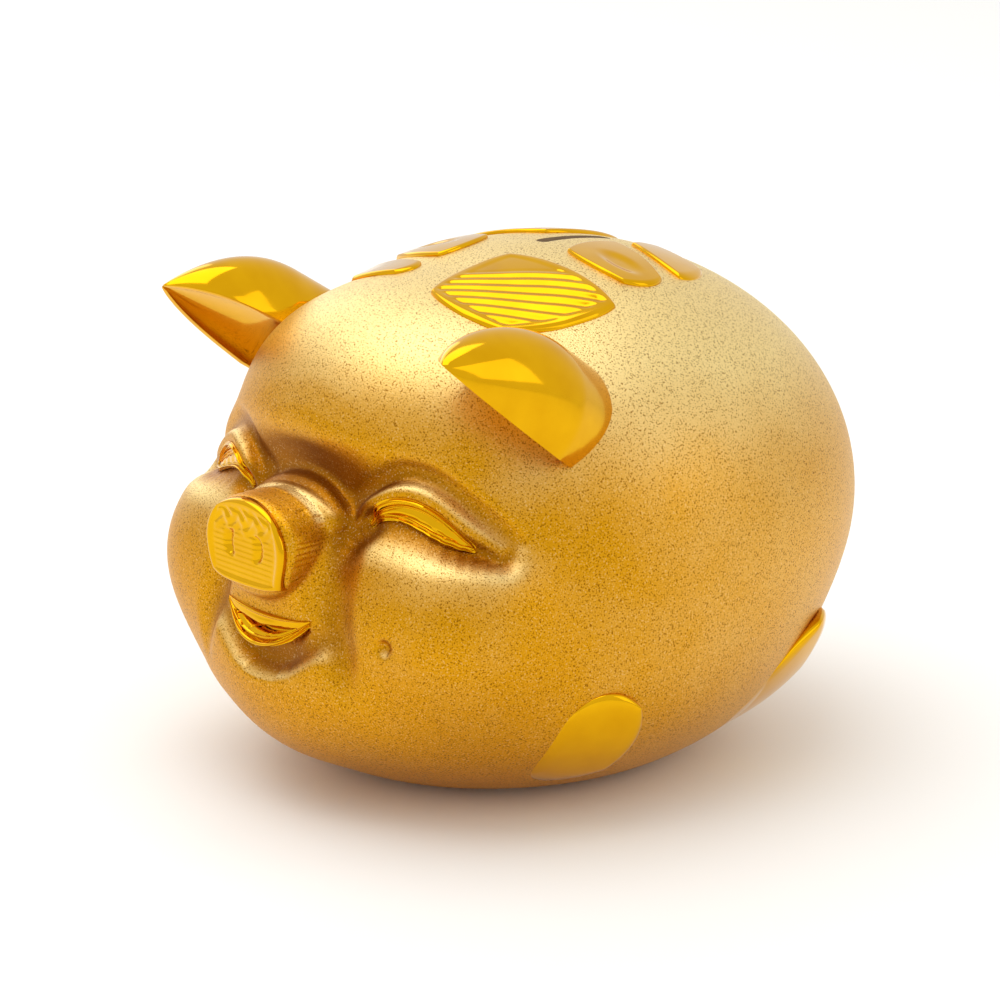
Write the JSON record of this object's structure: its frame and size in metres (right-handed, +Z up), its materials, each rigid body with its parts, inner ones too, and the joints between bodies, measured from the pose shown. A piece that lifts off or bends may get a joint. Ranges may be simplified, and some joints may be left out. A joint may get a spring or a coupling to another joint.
{
  "type": "piggy bank",
  "caption": "Hollow seated pig money box in satin gold with polished ears, eyes, snout, feet and back panels, a coin slot on top and a removable rubber stopper in its belly.",
  "frame": {"origin": "on the ground, under the middle of the pig's bounding box", "axes": "+Z up, the pig faces -Y, +X is its own left side"},
  "size_m": [0.1982, 0.2331, 0.1664],
  "materials": {
    "satin_gold": "gold lustre over a sand-blasted glaze, satin with a fine sparkle",
    "polished_gold": "gold lustre over a smooth glaze, mirror bright",
    "stopper_rubber": "soft matt rubber",
    "bumper_rubber": "soft matt rubber"
  },
  "bodies": {
    "root": {"body_shell": "satin_gold", "left_ear": "polished_gold", "right_ear": "polished_gold", "left_eye": "polished_gold", "right_eye": "polished_gold", "nose_plate": "polished_gold", "mouth": "polished_gold", "front_left_foot": "polished_gold", "front_right_foot": "polished_gold", "rear_left_foot": "polished_gold", "rear_right_foot": "polished_gold", "tail": "polished_gold", "left_front_panel": "polished_gold", "left_middle_panel": "polished_gold", "left_rear_panel": "polished_gold", "right_front_panel": "polished_gold", "right_middle_panel": "polished_gold", "right_rear_panel": "polished_gold", "front_left_bumper": "bumper_rubber", "rear_left_bumper": "bumper_rubber", "front_right_bumper": "bumper_rubber", "rear_right_bumper": "bumper_rubber"},
    "stopper": {"stopper": "stopper_rubber"}
  },
  "joints": [
    {"name": "stopper_slide", "type": "slide", "parent": "root", "child": "stopper", "axis": [0, 0, -1], "range_m": [0, 0.03]}
  ]
}
